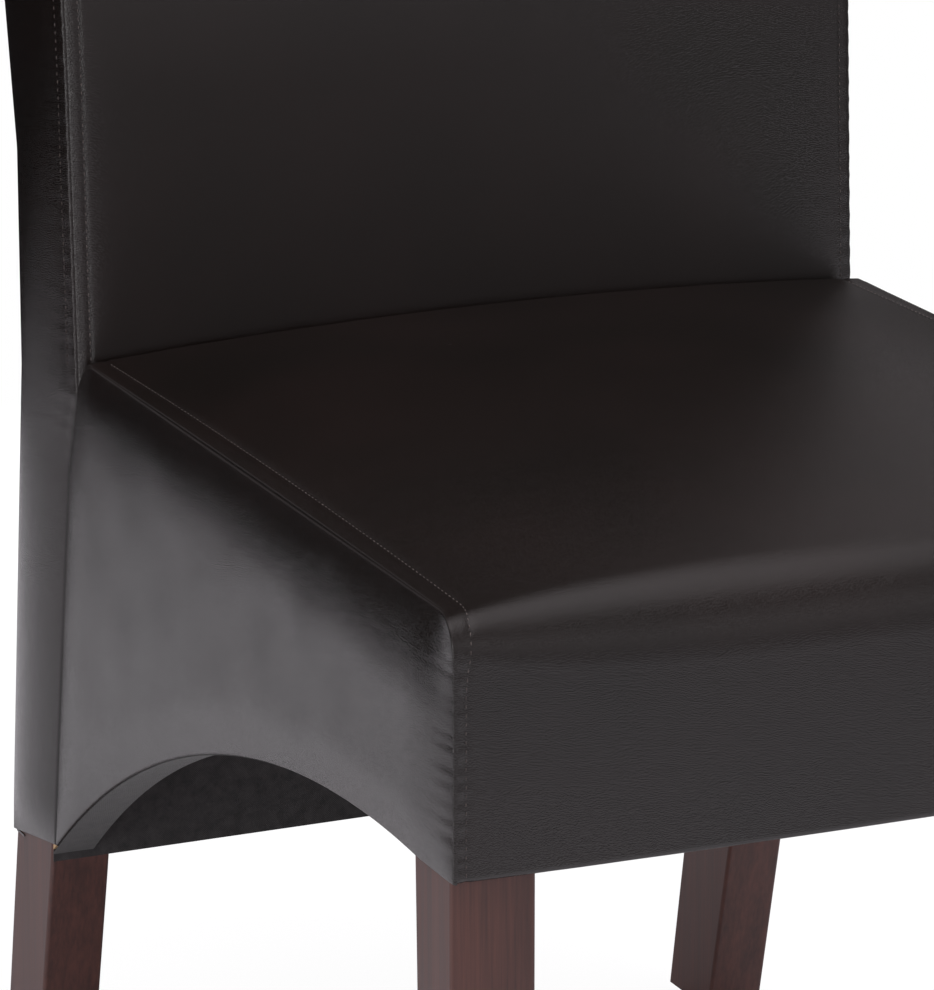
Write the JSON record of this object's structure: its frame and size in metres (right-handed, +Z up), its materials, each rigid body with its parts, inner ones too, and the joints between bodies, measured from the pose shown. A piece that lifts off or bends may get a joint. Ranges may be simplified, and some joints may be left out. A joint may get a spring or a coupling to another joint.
{
  "type": "parsons chair",
  "caption": "Parsons dining chair covered in dark brown leather, with an arched side panel and square red-brown wooden legs.",
  "frame": {"origin": "on the floor, under the middle of the chair's bounding box", "axes": "+Z up, +Y towards the back of the chair, +X to the right of someone looking at its front"},
  "size_m": [0.46, 0.6728, 0.99],
  "materials": {
    "leg_wood": "satin stain",
    "frame_wood": "raw",
    "zinc_steel": "zinc plated",
    "foam": "matte",
    "leather": "semi-gloss",
    "webbing": "woven",
    "lining": "matte",
    "glide": "matte"
  },
  "bodies": {
    "root": {"front_leg_left": "leg_wood", "front_leg_right": "leg_wood", "rear_post_left": "leg_wood", "rear_post_right": "leg_wood", "front_rail": "frame_wood", "side_rail_left": "frame_wood", "side_rail_right": "frame_wood", "rear_rail": "frame_wood", "back_bottom_rail": "frame_wood", "back_middle_rail": "frame_wood", "back_top_rail": "frame_wood", "rear_apron": "frame_wood", "corner_block_front_left": "frame_wood", "corner_block_front_right": "frame_wood", "corner_block_rear_left": "frame_wood", "corner_block_rear_right": "frame_wood", "rail_dowels": "frame_wood", "leg_bolts": "zinc_steel", "leg_bolt_washers": "zinc_steel", "leg_bolt_nuts": "zinc_steel", "back_bolts": "zinc_steel", "back_bolt_washers": "zinc_steel", "corner_block_screws": "zinc_steel", "glide_nails": "zinc_steel", "seat_foam": "foam", "front_pad": "foam", "back_foam": "foam", "seat_cover": "leather", "seat_side_panel_left": "leather", "seat_side_panel_right": "leather", "back_front_cover": "leather", "back_side_band_left": "leather", "back_side_band_right": "leather", "back_rear_cover": "leather", "seat_webbing_crosswise": "webbing", "seat_webbing_lengthwise": "webbing", "back_webbing": "webbing", "rear_lining": "lining", "post_lining_left": "lining", "post_lining_right": "lining", "dust_cover": "lining", "glide_front_left": "glide", "glide_front_right": "glide", "glide_rear_left": "glide", "glide_rear_right": "glide"}
  },
  "joints": []
}
